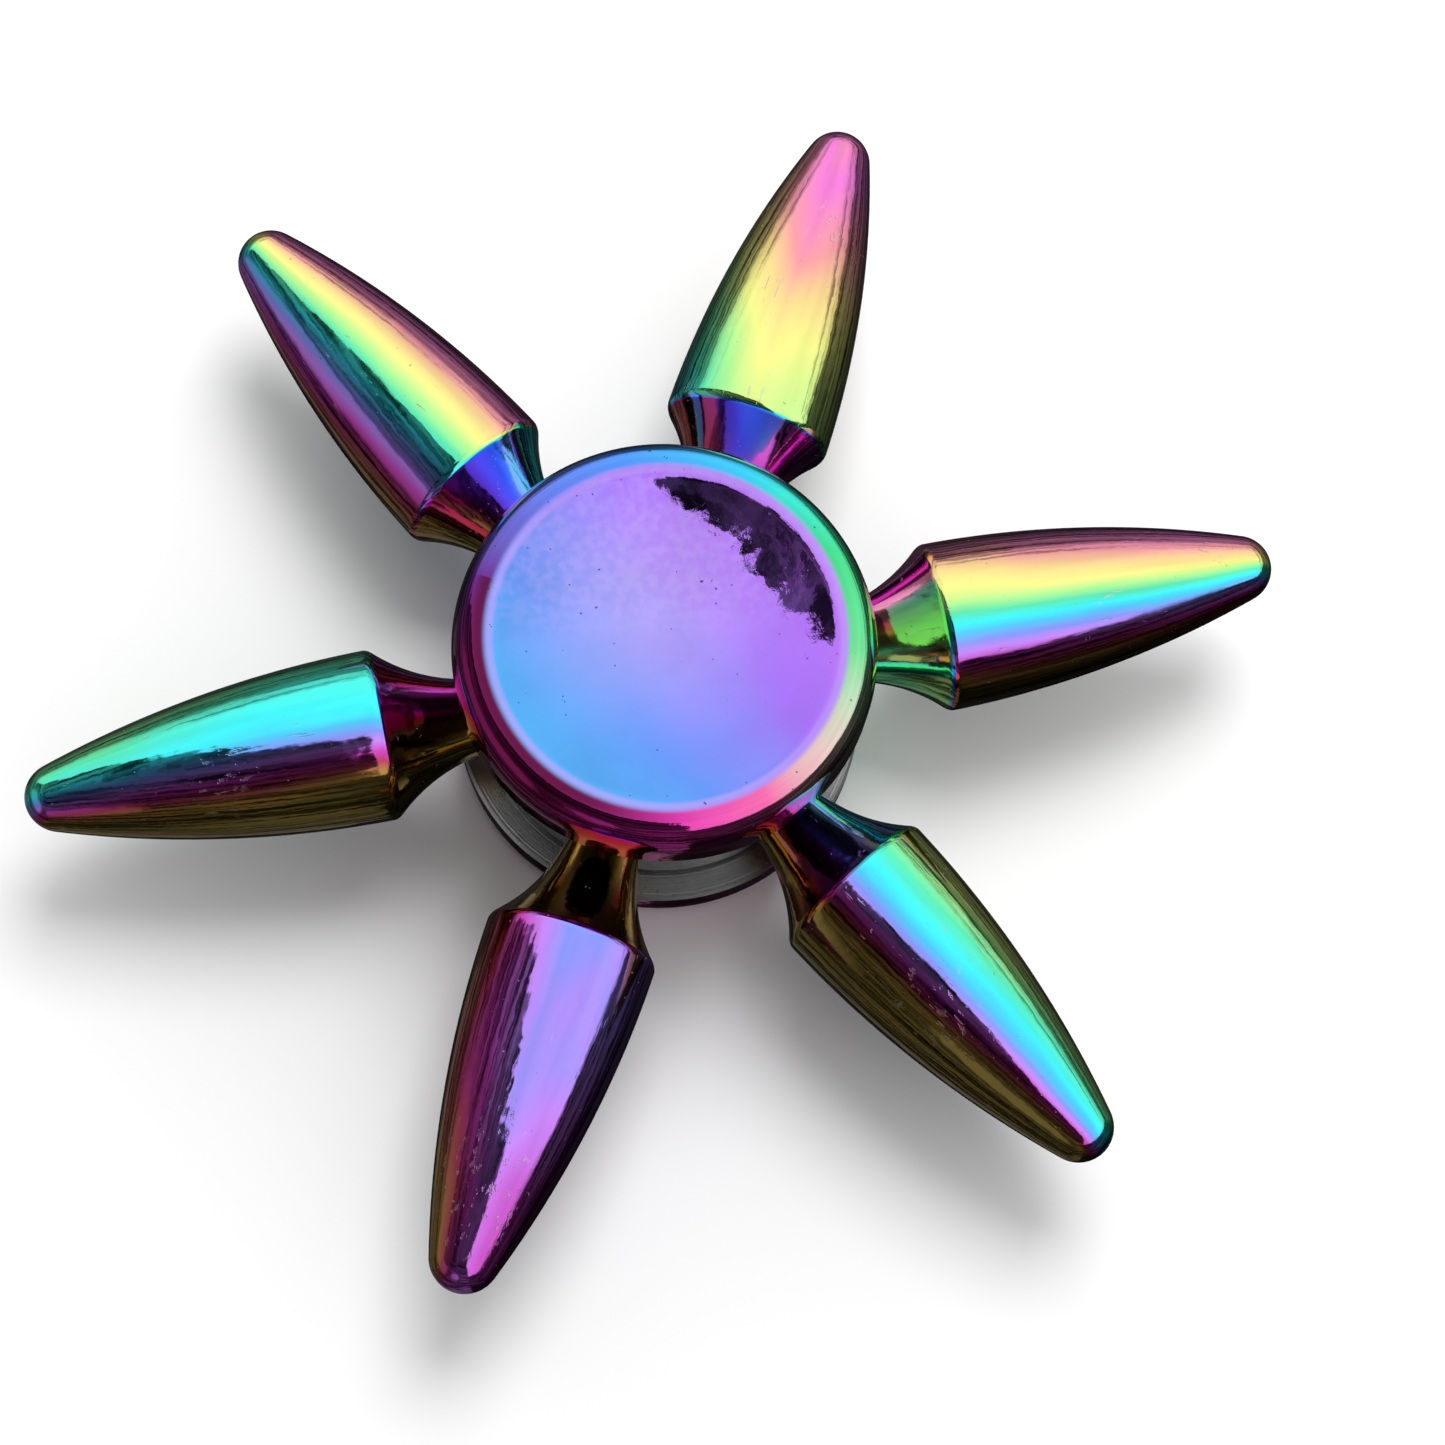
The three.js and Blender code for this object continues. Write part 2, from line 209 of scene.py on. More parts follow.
def cap_shell():
    """(radius, z) from the edge of the inner face, over the rim, to the dish's centre."""
    rounding = arc(
        (RIM_OUTER_RADIUS, CAP_WALL_TOP_Z),
        (CAP_RADIUS - RIM_OUTER_RADIUS, CAP_TOP_Z - CAP_WALL_TOP_Z),
        0,
        90,
        20,
    )
    rise = DISH_EDGE_Z - DISH_CENTRE_Z
    radius = (DISH_RADIUS ** 2 + rise ** 2) / (2 * rise)
    half_angle = math.degrees(math.asin(DISH_RADIUS / radius))
    dish = arc((0, DISH_CENTRE_Z + radius), (radius, radius), -90 + half_angle, -90, 40)
    edge_slope = math.tan(math.radians(half_angle))
    roll_corner = (DISH_RADIUS + (CAP_TOP_Z - DISH_EDGE_Z) / edge_slope, CAP_TOP_Z)
    return [
        (CAP_RADIUS - EDGE_CHAMFER, CAP_FACE_Z),
        (CAP_RADIUS, CAP_FACE_Z + EDGE_CHAMFER),
        *rounding,
        *soft_corner(rounding[-1], roll_corner, dish[0], 12),
        *dish[:-1],
        (0, DISH_CENTRE_Z),
    ]


# ---- Meshes ----

def finish_mesh(name, vertices, faces, zones=None):
    mesh = bpy.data.meshes.new(name)
    mesh.from_pydata([[value * MM for value in vertex] for vertex in vertices], [], faces)
    mesh.validate()
    for polygon in mesh.polygons:
        polygon.use_smooth = True
        if zones:
            polygon.material_index = zones[polygon.index]
    mesh.set_sharp_from_angle(angle=SHARP_ANGLE)
    piece = bpy.data.objects.new(name, mesh)
    bpy.context.scene.collection.objects.link(piece)
    return piece


def turned(name, profile, segments=ROUND_SEGMENTS, closed=False, zone_of=None):
    """Turn an outline of (radius, height) about Z. The solid lies to the outline's left."""
    vertices, rings, faces, zones = [], [], [], []
    for radius, height in profile:
        if radius < 1e-9:
            rings.append([len(vertices)] * segments)
            vertices.append((0, 0, height))
            continue
        rings.append([len(vertices) + k for k in range(segments)])
        for k in range(segments):
            angle = 2 * math.pi * k / segments
            vertices.append((radius * math.cos(angle), radius * math.sin(angle), height))
    last = len(rings) if closed else len(rings) - 1
    for i in range(last):
        lower, upper = rings[i], rings[(i + 1) % len(rings)]
        for k in range(segments):
            n = (k + 1) % segments
            corners = [lower[k], lower[n], upper[n], upper[k]]
            face = list(dict.fromkeys(corners))
            if len(face) < 3:
                continue
            faces.append(face)
            zones.append(zone_of(i) if zone_of else 0)
    return finish_mesh(name, vertices, faces, zones)


def reshape(piece, matrix):
    """Move a mesh's own points. A mirror or half turn keeps its faces pointing out."""
    piece.data.transform(matrix)
    if matrix.determinant() < 0:
        piece.data.flip_normals()


def lay_along_x(piece):
    """Turn a piece made about Z so that it lies along +X."""
    reshape(piece, Matrix.Rotation(math.radians(90), 4, "Y"))


def cut(piece, cutters):
    """Subtract the cutters, joined as one mesh, and remove them."""
    joined = bmesh.new()
    for cutter in cutters:
        joined.from_mesh(cutter.data)
    joined.to_mesh(cutters[0].data)
    joined.free()
    modifier = piece.modifiers.new("cut", "BOOLEAN")
    modifier.operation = "DIFFERENCE"
    modifier.solver = "EXACT"
    modifier.object = cutters[0]
    depsgraph = bpy.context.evaluated_depsgraph_get()
    mesh = bpy.data.meshes.new_from_object(piece.evaluated_get(depsgraph))
    piece.modifiers.clear()
    piece.data = mesh
    for polygon in mesh.polygons:
        polygon.use_smooth = True
    mesh.set_sharp_from_angle(angle=SHARP_ANGLE)
    for cutter in cutters:
        bpy.data.objects.remove(cutter)


def radial_cutter(profile, angle):
    """A turned cutter pointing outwards, with its corners clear of the planes the pieces share."""
    cutter = turned("cutter", profile, SMALL_SEGMENTS)
    reshape(cutter, Matrix.Rotation(math.pi / SMALL_SEGMENTS, 4, "Z"))
    lay_along_x(cutter)
    reshape(cutter, Matrix.Rotation(angle, 4, "Z"))
    return cutter


def place(piece, node, body, slot, *materials):
    for material in materials:
        piece.data.materials.append(material)
    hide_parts(node)
    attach(piece, body)


# ---- Shader building ----

class Nodes:
    """A small helper for one node tree."""

    def __init__(self, tree):
        self.tree = tree
        tree.nodes.clear()

    def add(self, kind, **settings):
        node = self.tree.nodes.new(kind)
        for key, value in settings.items():
            setattr(node, key, value)
        return node

    def feed(self, socket, value):
        if isinstance(value, bpy.types.NodeSocket):
            self.tree.links.new(value, socket)
        else:
            socket.default_value = value

    def math(self, operation, *values, clamp=False):
        node = self.add("ShaderNodeMath", operation=operation, use_clamp=clamp)
        for socket, value in zip(node.inputs, values):
            self.feed(socket, value)
        return node.outputs[0]

    def dot(self, vector, direction):
        node = self.add("ShaderNodeVectorMath", operation="DOT_PRODUCT")
        self.feed(node.inputs[0], vector)
        node.inputs[1].default_value = direction
        return node.outputs["Value"]

    def shift(self, vector, offset):
        node = self.add("ShaderNodeVectorMath", operation="SUBTRACT")
        self.feed(node.inputs[0], vector)
        node.inputs[1].default_value = offset
        return node.outputs[0]

    def length(self, vector, mask):
        scaled = self.add("ShaderNodeVectorMath", operation="MULTIPLY")
        self.feed(scaled.inputs[0], vector)
        scaled.inputs[1].default_value = mask
        size = self.add("ShaderNodeVectorMath", operation="LENGTH")
        self.feed(size.inputs[0], scaled.outputs[0])
        return size.outputs["Value"]

    def noise(self, vector, scale, detail=2.0, roughness=0.5, stretch=(1, 1, 1), seed=0.0):
        mapping = self.add("ShaderNodeMapping")
        self.feed(mapping.inputs["Vector"], vector)
        mapping.inputs["Location"].default_value = (seed, seed * 0.7, seed * 1.3)
        mapping.inputs["Scale"].default_value = stretch
        node = self.add("ShaderNodeTexNoise")
        self.feed(node.inputs["Vector"], mapping.outputs[0])
        node.inputs["Scale"].default_value = scale
        node.inputs["Detail"].default_value = detail
        node.inputs["Roughness"].default_value = roughness
        return node.outputs["Fac"]

    def smooth(self, value, low, high, to_low=0.0, to_high=1.0):
        node = self.add("ShaderNodeMapRange", interpolation_type="SMOOTHSTEP")
        self.feed(node.inputs["Value"], value)
        node.inputs["From Min"].default_value = low
        node.inputs["From Max"].default_value = high
        node.inputs["To Min"].default_value = to_low
        node.inputs["To Max"].default_value = to_high
        return node.outputs[0]

    def mix(self, factor, a, b):
        node = self.add("ShaderNodeMix", data_type="FLOAT")
        self.feed(node.inputs[0], factor)
        self.feed(node.inputs[2], a)
        self.feed(node.inputs[3], b)
        return node.outputs[0]

    def mix_colour(self, factor, a, b):
        node = self.add("ShaderNodeMix", data_type="RGBA")
        self.feed(node.inputs[0], factor)
        self.feed(node.inputs[6], a)
        self.feed(node.inputs[7], b)
        return node.outputs[2]

    def ramp(self, value, stops):
        node = self.add("ShaderNodeValToRGB")
        elements = node.color_ramp.elements
        while len(elements) > 1:
            elements.remove(elements[-1])
        elements[0].position = stops[0][0]
        elements[0].color = (*stops[0][1], 1)
        for position, colour in stops[1:]:
            elements.new(position).color = (*colour, 1)
        self.feed(node.inputs[0], value)
        return node.outputs[0]

    def turn(self, vector, angle):
        node = self.add("ShaderNodeVectorRotate", rotation_type="Z_AXIS")
        self.feed(node.inputs["Vector"], vector)
        node.inputs["Angle"].default_value = angle
        return node.outputs[0]

    def bump(self, height, distance, strength=1.0, normal=None):
        node = self.add("ShaderNodeBump")
        self.feed(node.inputs["Height"], height)
        node.inputs["Distance"].default_value = distance
        node.inputs["Strength"].default_value = strength
        if normal:
            self.feed(node.inputs["Normal"], normal)
        return node.outputs[0]


# Interference colours of a film as it grows thicker, as linear light.
FILM = [
    (0.00, (0.26, 0.22, 0.06)),
    (0.07, (0.48, 0.26, 0.06)),
    (0.13, (0.50, 0.06, 0.13)),
    (0.19, (0.62, 0.07, 0.52)),
    (0.25, (0.58, 0.25, 0.96)),
    (0.31, (0.26, 0.33, 0.99)),
    (0.38, (0.09, 0.60, 0.98)),
    (0.44, (0.06, 0.92, 0.96)),
    (0.52, (0.12, 0.84, 0.45)),
    (0.60, (0.46, 0.98, 0.33)),
    (0.69, (0.92, 0.95, 0.28)),
    (0.78, (0.93, 0.70, 0.28)),
    (0.87, (0.92, 0.34, 0.38)),
    (1.00, (0.92, 0.22, 0.72)),
]
WORN = (0.62, 0.60, 0.55, 1)
PITTED = (0.05, 0.04, 0.12, 1)

# Film colours across a cap's dish, from its blue side to its violet side.
DISH_FILM = [
    (0.00, (0.06, 0.42, 0.86)),
    (0.28, (0.10, 0.29, 0.87)),
    (0.48, (0.24, 0.24, 0.90)),
    (0.66, (0.38, 0.16, 0.92)),
    (1.00, (0.50, 0.17, 0.90)),
]
# Film colours round a cap's rim, from violet through blue and green, and back by way of pink.
RIM_FILM = [
    (0.00, (0.16, 0.03, 0.28)),
    (0.08, (0.15, 0.20, 0.80)),
    (0.17, (0.09, 0.33, 0.98)),
    (0.25, (0.05, 0.60, 0.95)),
    (0.30, (0.05, 0.78, 0.66)),
    (0.38, (0.07, 0.72, 0.28)),
    (0.46, (0.18, 0.76, 0.32)),
    (0.51, (0.52, 0.74, 0.50)),
    (0.56, (0.80, 0.58, 0.55)),
    (0.61, (0.92, 0.16, 0.44)),
    (0.69, (0.78, 0.05, 0.46)),
    (0.80, (0.34, 0.02, 0.14)),
    (0.93, (0.29, 0.02, 0.15)),
    (1.00, (0.16, 0.03, 0.28)),
]


def arm_wear(scuff, seed):
    """Chips, lengthwise scratches, and one patch where both are thicker."""

    def build(nodes, position):
        chips = nodes.smooth(nodes.noise(position, 2.6, 3.0, 0.6, seed=seed + 3), 0.715, 0.745)
        rubbed = nodes.smooth(nodes.noise(position, 0.35, 2.0, 0.5, seed=seed + 4), 0.52, 0.66)
        lines = nodes.noise(position, 3.6, 2.0, 0.6, stretch=(0.10, 1, 1), seed=seed + 6)
        scratches = nodes.math("MULTIPLY", nodes.smooth(lines, 0.66, 0.70, 0, 0.7), rubbed)
        reach, offset, radius = scuff
        middle = nodes.shift(position, (reach, offset, 0))
        patch = nodes.smooth(nodes.length(middle, (0.6, 1, 0)), radius * 0.4, radius, 1, 0)
        marks = nodes.noise(position, 2.3, 3.0, 0.65, stretch=(0.5, 1, 1), seed=seed + 8)
        marks = nodes.math("MULTIPLY", nodes.smooth(marks, 0.60, 0.66, 0, 0.7), patch)
        return nodes.math("MAXIMUM", nodes.math("MAXIMUM", chips, scratches), marks), WORN

    return build


def cap_wear(nodes, position):
    """A few small dark pits."""
    return nodes.smooth(nodes.noise(position, 2.2, 2.0, 0.5, seed=37.0), 0.735, 0.755), PITTED


def coated(name, colour_of, wear_of, roughness, peel, seed, turn=0.0):
    """Polished metal under an interference film. turn is the angle that the piece was turned by."""
    material = bpy.data.materials.new(name)
    material.use_nodes = True
    nodes = Nodes(material.node_tree)
    coordinates = nodes.add("ShaderNodeTexCoord")
    position = nodes.add("ShaderNodeVectorMath", operation="SCALE")
    nodes.feed(position.inputs[0], coordinates.outputs["Object"])
    position.inputs["Scale"].default_value = 1 / MM
    place_mm = nodes.turn(position.outputs[0], -turn)
    normal = nodes.turn(coordinates.outputs["Normal"], -turn)
    film = colour_of(nodes, place_mm, normal)
    chips, chip_colour = wear_of(nodes, place_mm)
    colour = nodes.mix_colour(nodes.math("MULTIPLY", chips, 0.7), film, chip_colour)

    smear = nodes.noise(place_mm, 0.45, 4.0, 0.6, seed=seed + 7)
    gloss = nodes.smooth(smear, 0.35, 0.75, roughness * 0.7, roughness * 1.4)
    gloss = nodes.mix(chips, gloss, 0.4)

    ripple = nodes.noise(place_mm, 0.55, 2.0, 0.45, seed=seed + 11)
    grain = nodes.noise(place_mm, 2.4, 3.0, 0.55, stretch=peel[1], seed=seed + 13)
    surface = nodes.bump(ripple, 0.030 * MM)
    surface = nodes.bump(grain, peel[0] * MM, 1.0, surface)
    surface = nodes.bump(chips, -0.012 * MM, 1.0, surface)

    shader = nodes.add("ShaderNodeBsdfPrincipled")
    shader.inputs["Metallic"].default_value = 1.0
    nodes.feed(shader.inputs["Base Color"], colour)
    nodes.feed(shader.inputs["Roughness"], gloss)
    nodes.feed(shader.inputs["Normal"], surface)
    output = nodes.add("ShaderNodeOutputMaterial")
    nodes.feed(output.inputs["Surface"], shader.outputs[0])
    return material


def arm_colour(base, high, low, along, neck, seed):
    """Film over one arm, which lies along its own +X.

    The film's phase is base on the ridge. It changes by high towards the arm's +Y side and by low
    towards its -Y side, by along from shoulder to tip, and by neck on the flare behind the shoulder.
    """

    def build(nodes, position, normal):
        side = nodes.dot(normal, (0, 1, 0))
        distance = nodes.dot(position, (1, 0, 0))
        past_flare = nodes.smooth(distance, SHOULDER_REACH - 0.3, SHOULDER_REACH, 0.5, 1)
        side = nodes.math("MULTIPLY", side, past_flare)
        upper = nodes.math("MULTIPLY", nodes.math("MAXIMUM", side, 0.0), high)
        lower = nodes.math("MULTIPLY", nodes.math("MINIMUM", side, 0.0), -low)
        reach = nodes.smooth(distance, SHOULDER_REACH, TIP_REACH, 0, along)
        flare = nodes.smooth(distance, SHOULDER_REACH - 0.3, SHOULDER_REACH, neck, 0)
        wander = nodes.noise(position, 0.16, 2.0, 0.5, stretch=(0.5, 1, 1), seed=seed)
        total = nodes.math("ADD", nodes.math("ADD", upper, lower), nodes.math("ADD", reach, flare))
        total = nodes.math("ADD", total, base)
        total = nodes.math("ADD", total, nodes.smooth(wander, 0.25, 0.75, -0.03, 0.03))
        total = nodes.math("MAXIMUM", total, 0.02)
        return nodes.ramp(nodes.math("PINGPONG", total, 1.0), FILM)

    return build


def cap_colour(seed):
    """Film over a cap: a gentle sweep over the dish, and the whole run of colours round the rim, with a
    painted reflection on the dish and a painted highlight ring on its outer slope.
    """
    dish_heading = math.radians(24)
    rim_start = math.radians(150)

    def build(nodes, position, normal):
        wander = nodes.smooth(nodes.noise(position, 0.14, 3.0, 0.5, seed=seed), 0.25, 0.75, -0.012, 0.012)
        across = nodes.dot(position, (math.cos(dish_heading), math.sin(dish_heading), 0))
        sweep = nodes.math("ADD", nodes.math("MULTIPLY", across, 0.5 / DISH_RADIUS), 0.5)
        sweep = nodes.math("ADD", sweep, nodes.math("MULTIPLY", wander, 5.0))
        dish = nodes.ramp(sweep, DISH_FILM)
        # Painted reflection: the dish is mixed towards pale lilac, most near a point just off its centre,
        # and orange-peel cells are painted as lighter and darker spots in it towards the +Y side.
        peel = nodes.smooth(nodes.noise(position, 2.1, 1.0, 0.4, seed=seed + 2), 0.3, 0.7, -0.09, 0.09)
        peel = nodes.math("MULTIPLY", peel, nodes.smooth(nodes.dot(position, (0.15, 1, 0)), -1.0, 4.0))
        distance_from_reflection = nodes.length(nodes.shift(position, (-0.6, 2.6, 0)), (1, 1, 0))
        painted_sky_reflection = nodes.smooth(distance_from_reflection, 0, 9.5, 0.60, 0.06)
        dish = nodes.mix_colour(nodes.math("ADD", painted_sky_reflection, peel, clamp=True), dish, (0.56, 0.45, 0.96, 1))

        turned_back = nodes.turn(position, -rim_start)
        angle = nodes.math(
            "ARCTAN2", nodes.dot(turned_back, (0, -1, 0)), nodes.dot(turned_back, (-1, 0, 0)))
        around = nodes.math("ADD", nodes.math("MULTIPLY", angle, -1 / (2 * math.pi)), 0.5)
        rim = nodes.ramp(nodes.math("ADD", around, wander), RIM_FILM)
        radius = nodes.length(position, (1, 1, 0))
        # Near black over the crest and the top of the rim's rounding, on the part of the rim from its -Y
        # side round past -X.
        inward = nodes.smooth(radius, 10.0, 10.6, 0.9, 0)
        near_black_crest = nodes.math("MULTIPLY", nodes.smooth(around, 0.66, 0.78), inward)
        rim = nodes.mix_colour(near_black_crest, rim, (0.12, 0.01, 0.06, 1))
        # Painted highlight: a pale lilac ring on the dish's outer slope, where it rises to the rim.
        painted_slope_highlight = nodes.math(
            "MULTIPLY", nodes.smooth(radius, 9.0, 9.3), nodes.smooth(radius, 9.35, 9.75, 0.55, 0))
        body = nodes.mix_colour(nodes.smooth(radius, 9.35, 9.8), dish, rim)
        return nodes.mix_colour(painted_slope_highlight, body, (0.52, 0.34, 0.93, 1))

    return build


def bare_metal(name, colour, roughness, seed, ring_depth=0.0):
    """Bare metal with turning marks about the spin axis, and small dark marks."""
    material = bpy.data.materials.new(name)
    material.use_nodes = True
    nodes = Nodes(material.node_tree)
    coordinates = nodes.add("ShaderNodeTexCoord")
    position = nodes.add("ShaderNodeVectorMath", operation="SCALE")
    nodes.feed(position.inputs[0], coordinates.outputs["Object"])
    position.inputs["Scale"].default_value = 1 / MM
    place_mm = position.outputs[0]

    radius = nodes.length(place_mm, (1, 1, 0))
    rings = nodes.add("ShaderNodeTexNoise", noise_dimensions="1D")
    nodes.feed(rings.inputs["W"], radius)
    rings.inputs["Scale"].default_value = 9.0
    rings.inputs["Detail"].default_value = 3.0
    specks = nodes.smooth(nodes.noise(place_mm, 3.1, 3.0, 0.65, seed=seed), 0.62, 0.72)
    cloud = nodes.noise(place_mm, 0.5, 3.0, 0.55, seed=seed + 5)

    darker = tuple(value * 0.45 for value in colour)
    duller = tuple(value * 0.85 for value in colour)
    base = nodes.mix_colour(nodes.smooth(cloud, 0.3, 0.7), (*colour, 1), (*duller, 1))
    base = nodes.mix_colour(nodes.math("MULTIPLY", specks, 0.7), base, (*darker, 1))
    gloss = nodes.smooth(cloud, 0.3, 0.7, roughness * 0.85, roughness * 1.2)

    surface = nodes.bump(rings.outputs["Fac"], ring_depth * MM) if ring_depth else None
    surface = nodes.bump(nodes.noise(place_mm, 6.0, 2.0, seed=seed + 9), 0.004 * MM, 1.0, surface)
    shader = nodes.add("ShaderNodeBsdfPrincipled")
    shader.inputs["Metallic"].default_value = 1.0
    nodes.feed(shader.inputs["Base Color"], base)
    nodes.feed(shader.inputs["Roughness"], gloss)
    nodes.feed(shader.inputs["Normal"], surface)
    output = nodes.add("ShaderNodeOutputMaterial")
    nodes.feed(output.inputs["Surface"], shader.outputs[0])
    return material


# ---- Materials ----

# Film over each arm, as arm_colour takes it: base, high, low, along, neck.
ARM_FILMS = [
    (0.66, 0.36, -0.70, 0.09, 0.19),
    (0.68, -0.24, -0.06, 0.38, -0.46),
    (0.63, -0.56, 0.50, 0.04, -0.36),
    (0.43, -0.50, 0.13, 0.03, -0.26),
    (0.305, -0.03, -0.20, -0.08, -0.22),
    (0.42, 0.32, -0.60, -0.05, -0.14),
]
# Where each arm is scuffed most: reach along it, offset to its +Y side, and radius of the patch.
ARM_SCUFFS = [
    (30.5, 0.6, 1.2),
    (27.5, -0.6, 1.4),
    (25.0, 1.2, 1.0),
    (24.0, 1.6, 1.6),
    (29.5, -0.4, 3.2),
    (23.5, -1.8, 2.6),
]
ARM_PEEL = (0.005, (0.12, 1, 1))
arm_coatings = [
    coated(
        f"arm_film_{i + 1}",
        arm_colour(*film, seed=2.0 * i),
        arm_wear(ARM_SCUFFS[i], 5.0 * i),
        0.075,
        ARM_PEEL,
        5.0 * i,
        turn=2 * math.pi * i / ARM_COUNT,
    )
    for i, film in enumerate(ARM_FILMS)
]
cap_coating = coated("cap_film", cap_colour(4.0), cap_wear, 0.045, (0.004, (1, 1, 1)), 31.0)
satin_steel = bare_metal("satin_steel", (0.50, 0.50, 0.50), 0.30, 2.0, 0.01)
# The hub's dark grey is partly its own gunmetal tone and partly painted shade: it is darkened to the black
# of the shade under the top cap.
hub_metal = bare_metal("hub_metal", (0.21, 0.21, 0.22), 0.28, 12.0, 0.006)
bearing_steel = bare_metal("bearing_steel", (0.72, 0.73, 0.74), 0.14, 22.0)
shield_steel = bare_metal("shield_steel", (0.62, 0.63, 0.64), 0.26, 32.0, 0.004)
cage_metal = bare_metal("cage_metal", (0.69, 0.54, 0.29), 0.32, 42.0)


# ---- Pieces ----

def make_cap(name, node, inner):
    """inner lists (radius, z) from the axis out to the boss. The inner face and all inside it are bare."""
    profile = inner + [(BOSS_RADIUS, CAP_FACE_Z)] + cap_shell()
    bare = len(inner) + 2

    def zone_of(segment):
        return 1 if segment < bare else 0

    cap = turned(name, profile, zone_of=zone_of)
    if node == "bottom_cap":
        reshape(cap, Matrix.Rotation(math.pi, 4, "X"))
    place(cap, node, "finger_caps", "cap_coating", cap_coating, satin_steel)


make_cap("top_finger_cap", "top_cap", [
    (0, SCREW_END_Z),
    (SCREW_RADIUS - EDGE_CHAMFER, SCREW_END_Z),
    (SCREW_RADIUS, SCREW_END_Z + EDGE_CHAMFER),
    (SCREW_RADIUS, TOP_SLEEVE_END_Z),
    (SLEEVE_RADIUS, TOP_SLEEVE_END_Z),
    (SLEEVE_RADIUS, BOSS_END_Z),
    (BOSS_RADIUS, BOSS_END_Z),
])
make_cap("bottom_finger_cap", "bottom_cap", [
    (0, SCREW_HOLE_END_Z),
    (SCREW_HOLE_RADIUS, SCREW_HOLE_END_Z),
    (SCREW_HOLE_RADIUS, BOTTOM_SLEEVE_END_Z),
    (SLEEVE_RADIUS, BOTTOM_SLEEVE_END_Z),
    (SLEEVE_RADIUS, BOSS_END_Z),
    (BOSS_RADIUS, BOSS_END_Z),
])

for i in range(ARM_COUNT):
    arm = turned(f"bullet_{i + 1}", arm_profile(), ARM_SEGMENTS)
    lay_along_x(arm)
    reshape(arm, Matrix.Rotation(2 * math.pi * i / ARM_COUNT, 4, "Z"))
    place(arm, f"bullet_arm_{i + 1}", "rotor", "arm_coating", arm_coatings[i])

hub = turned("hub", [
    (HUB_LIP_RADIUS, -HUB_HALF_HEIGHT),
    (HUB_RADIUS - HUB_CHAMFER, -HUB_HALF_HEIGHT),
    (HUB_RADIUS, -HUB_HALF_HEIGHT + HUB_CHAMFER),
    (HUB_RADIUS, HUB_HALF_HEIGHT - HUB_CHAMFER),
    (HUB_RADIUS - HUB_CHAMFER, HUB_HALF_HEIGHT),
    (BEARING_SEAT_RADIUS + HUB_CHAMFER, HUB_HALF_HEIGHT),
    (BEARING_SEAT_RADIUS, HUB_HALF_HEIGHT - HUB_CHAMFER),
    (BEARING_SEAT_RADIUS, HUB_LIP_Z),
    (HUB_LIP_RADIUS, HUB_LIP_Z),
], closed=True)
socket_profile = [
    (0, SOCKET_END_REACH),
    (SOCKET_RADIUS, SOCKET_END_REACH),
    (SOCKET_RADIUS, SPOT_FACE_REACH),
    (SPOT_FACE_RADIUS, SPOT_FACE_REACH),
    (SPOT_FACE_RADIUS, HUB_RADIUS + 1),
    (0, HUB_RADIUS + 1),
]
cut(hub, [radial_cutter(socket_profile, 2 * math.pi * i / ARM_COUNT) for i in range(ARM_COUNT)])
place(hub, "hub_ring", "rotor", "hub_metal", hub_metal)


# ---- Bearing ----

def ring_groove(land_radius, side):
    """The ball groove's arc in a race, from its lower land to its upper one."""
    land = math.degrees(math.acos(abs(PITCH_RADIUS - land_radius) / GROOVE_RADIUS))
    start, end = (180 + land, 180 - land) if side == "inner" else (land, -land)
    return arc((PITCH_RADIUS, 0), (GROOVE_RADIUS, GROOVE_RADIUS), start, end, 16)


inner_race = turned("inner_race", [
    (BEARING_BORE_RADIUS, -BEARING_HALF_WIDTH),
    (INNER_LAND_RADIUS, -BEARING_HALF_WIDTH),
    *ring_groove(INNER_LAND_RADIUS, "inner"),
    (INNER_LAND_RADIUS, BEARING_HALF_WIDTH),
    (BEARING_BORE_RADIUS, BEARING_HALF_WIDTH),
], 96, closed=True)
place(inner_race, "bearing_inner_race", "finger_caps", "bearing_steel", bearing_steel)

outer_race = turned("outer_race", [
    (SHIELD_STEP_RADIUS, -BEARING_HALF_WIDTH),
    (BEARING_OUTER_RADIUS, -BEARING_HALF_WIDTH),
    (BEARING_OUTER_RADIUS, BEARING_HALF_WIDTH),
    (SHIELD_STEP_RADIUS, BEARING_HALF_WIDTH),
    (SHIELD_STEP_RADIUS, SHIELD_STEP_Z),
    (OUTER_LAND_RADIUS, SHIELD_STEP_Z),
    *ring_groove(OUTER_LAND_RADIUS, "outer"),
    (OUTER_LAND_RADIUS, -SHIELD_STEP_Z),
    (SHIELD_STEP_RADIUS, -SHIELD_STEP_Z),
], 96, closed=True)
place(outer_race, "bearing_outer_race", "rotor", "bearing_steel", bearing_steel)

cage = turned("ball_crown_cage", [
    (CAGE_INNER_RADIUS, CAGE_BACK_Z),
    (CAGE_OUTER_RADIUS, CAGE_BACK_Z),
    (CAGE_OUTER_RADIUS, CAGE_FINGER_Z),
    (CAGE_INNER_RADIUS, CAGE_FINGER_Z),
], 120, closed=True)
pocket_profile = [
    (0, CAGE_INNER_RADIUS - 1),
    (CAGE_POCKET_RADIUS, CAGE_INNER_RADIUS - 1),
    (CAGE_POCKET_RADIUS, CAGE_OUTER_RADIUS + 1),
    (0, CAGE_OUTER_RADIUS + 1),
]
cut(cage, [radial_cutter(pocket_profile, 2 * math.pi * i / BALL_COUNT) for i in range(BALL_COUNT)])
place(cage, "bearing_cage", "ball_cage", "cage_metal", cage_metal)

for i in range(BALL_COUNT):
    angle = 2 * math.pi * i / BALL_COUNT
    ball_profile = arc((0, 0), (BALL_RADIUS, BALL_RADIUS), -90, 90, 20)
    ball_profile[0], ball_profile[-1] = (0, -BALL_RADIUS), (0, BALL_RADIUS)
    ball = turned(f"ball_{i + 1}_steel", ball_profile, 32)
    centre = Vector((PITCH_RADIUS * math.cos(angle), PITCH_RADIUS * math.sin(angle), 0)) * MM
    reshape(ball, Matrix.Translation(centre))
    place(ball, f"bearing_ball_{i + 1}", f"ball_{i + 1}", "bearing_steel", bearing_steel)


